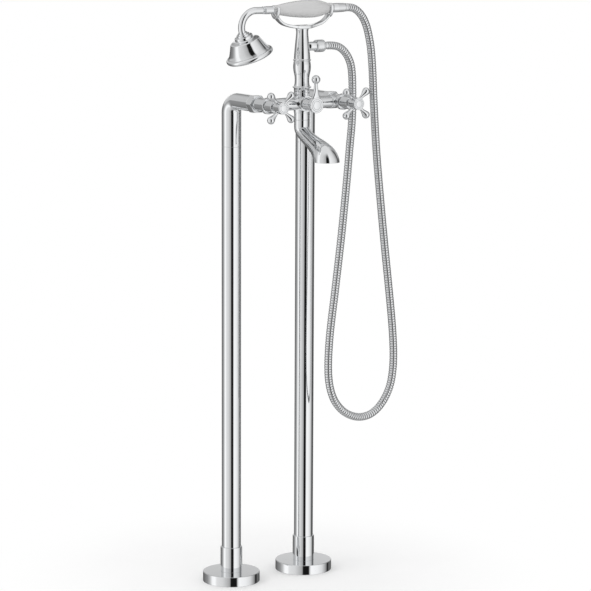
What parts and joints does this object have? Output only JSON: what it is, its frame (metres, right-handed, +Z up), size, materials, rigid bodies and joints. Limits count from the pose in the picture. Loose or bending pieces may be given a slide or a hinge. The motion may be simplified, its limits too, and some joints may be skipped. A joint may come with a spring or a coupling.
{
  "type": "floor standing bath filler",
  "caption": "Floor standing bath filler: standpipes on round flanges carry a mixer with cross handles, diverter lever, flared spout and a cradled hand shower on a ribbed hose.",
  "frame": {"origin": "on the floor, midway between the axes of the two standpipes", "axes": "+X to the right, towards the cold standpipe; -Y to the front, where the handles and the spout are; +Z up"},
  "size_m": [0.3418, 0.2516, 1.0129],
  "materials": {
    "chrome": "mirror polished chrome plate",
    "hose_metal": "polished ribbed metal sleeve",
    "porcelain": "smooth glossy glaze",
    "steel": "plain zinc plated steel",
    "copper": "plain drawn copper tube, weighed as brass",
    "valve_brass": "plain machined brass",
    "rubber": "soft sealing rubber",
    "spray_plastic": "pale moulded plastic"
  },
  "bodies": {
    "root": {"cold_cartridge": "valve_brass", "cold_collar": "chrome", "cold_elbow": "chrome", "cold_flange_cover": "chrome", "cold_floor_plate": "steel", "cold_standpipe": "chrome", "cold_supply_tube": "copper", "cold_union_nut": "chrome", "cold_valve_body": "chrome", "cold_valve_bonnet": "chrome", "collar_screws": "steel", "cradle": "chrome", "cradle_screw": "steel", "diverter_bonnet": "chrome", "diverter_cartridge": "valve_brass", "flow_straightener": "spray_plastic", "hose_ferrule_outlet": "chrome", "hose_outlet_nut": "chrome", "hose_washer": "rubber", "hot_cartridge": "valve_brass", "hot_collar": "chrome", "hot_elbow": "chrome", "hot_flange_cover": "chrome", "hot_floor_plate": "steel", "hot_standpipe": "chrome", "hot_supply_tube": "copper", "hot_union_nut": "chrome", "hot_valve_body": "chrome", "hot_valve_bonnet": "chrome", "mixer_bar": "chrome", "riser_baluster": "chrome", "riser_column": "chrome", "shower_hose": "hose_metal", "spout": "chrome", "spout_tailpiece": "chrome", "union_washers": "rubber"},
    "hot_cross": {"hot_spindle": "valve_brass", "hot_handle": "chrome", "hot_handle_arms": "chrome", "hot_handle_cap": "chrome", "hot_handle_screw": "steel"},
    "cold_cross": {"cold_spindle": "valve_brass", "cold_handle": "chrome", "cold_handle_arms": "chrome", "cold_handle_cap": "chrome", "cold_handle_screw": "steel"},
    "lever": {"diverter_spindle": "valve_brass", "diverter_lever": "chrome", "lever_cap": "chrome", "lever_screw": "steel"},
    "handset": {"handset_core": "valve_brass", "grip": "porcelain", "front_ferrule": "chrome", "rear_ferrule": "chrome", "gooseneck": "chrome", "head_nut": "chrome", "head_bell": "chrome", "head_rim": "chrome", "spray_plate": "spray_plastic", "hose_ferrule_handset": "chrome"}
  },
  "joints": [
    {"name": "hot_handle_turn", "type": "hinge", "parent": "root", "child": "hot_cross", "pos_m": [-0.075, -0.1563, 0.84], "axis": [0, -1, 0], "range_deg": [0, 90]},
    {"name": "cold_handle_turn", "type": "hinge", "parent": "root", "child": "cold_cross", "pos_m": [0.075, -0.1563, 0.84], "axis": [0, 1, 0], "range_deg": [0, 90]},
    {"name": "diverter_turn", "type": "hinge", "parent": "root", "child": "lever", "pos_m": [0, -0.1468, 0.84], "axis": [0, 1, 0], "range_deg": [0, 60]},
    {"name": "handset_lift", "type": "slide", "parent": "root", "child": "handset", "axis": [0, 0, 1], "range_m": [0, 0.15], "deforming": ["shower_hose"]}
  ]
}
